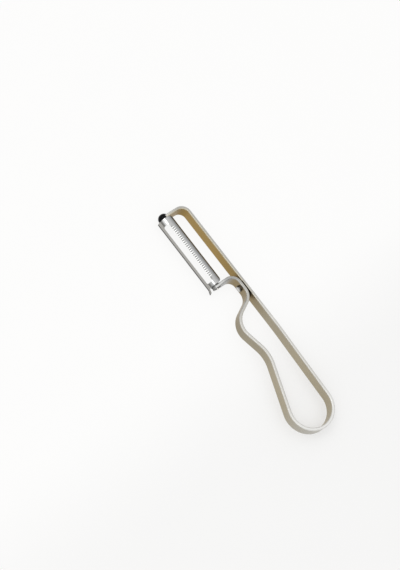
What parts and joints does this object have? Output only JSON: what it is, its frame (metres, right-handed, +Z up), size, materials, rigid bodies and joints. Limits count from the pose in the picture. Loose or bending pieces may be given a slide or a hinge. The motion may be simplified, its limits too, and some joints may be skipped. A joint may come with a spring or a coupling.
{
  "type": "vegetable peeler",
  "caption": "Steel vegetable peeler: a flat strip bent into a looped handle and a pair of arms that hold a slotted, swivelling half-round blade with a fluted edge.",
  "frame": {"origin": "on the surface the peeler lies on, under the middle of its overall length and width at rest", "axes": "+X from the butt of the handle to the nose, +Y from the spine to the side that the blade and finger rest are on, +Z up across the width of the strip"},
  "size_m": [0.174, 0.0344, 0.0105],
  "materials": {
    "handle_steel": "satin stainless strip with a fine grain along its length",
    "rivet_steel": "pressed and tumbled steel",
    "blade_steel": "polished blade steel",
    "pin_steel": "turned steel, peened at the end",
    "cap_plastic": "glossy black moulding"
  },
  "bodies": {
    "handle": {"handle_strip": "handle_steel", "neck_rivet": "rivet_steel", "nose_cap": "cap_plastic"},
    "blade": {"blade": "blade_steel", "rear_pivot_pin": "pin_steel", "front_pivot_pin": "pin_steel"}
  },
  "joints": [
    {"name": "blade_swivel", "type": "hinge", "parent": "handle", "child": "blade", "pos_m": [0.0554, 0.0006, 0.005], "axis": [-1, 0, 0], "range_deg": [-108, 82]}
  ]
}
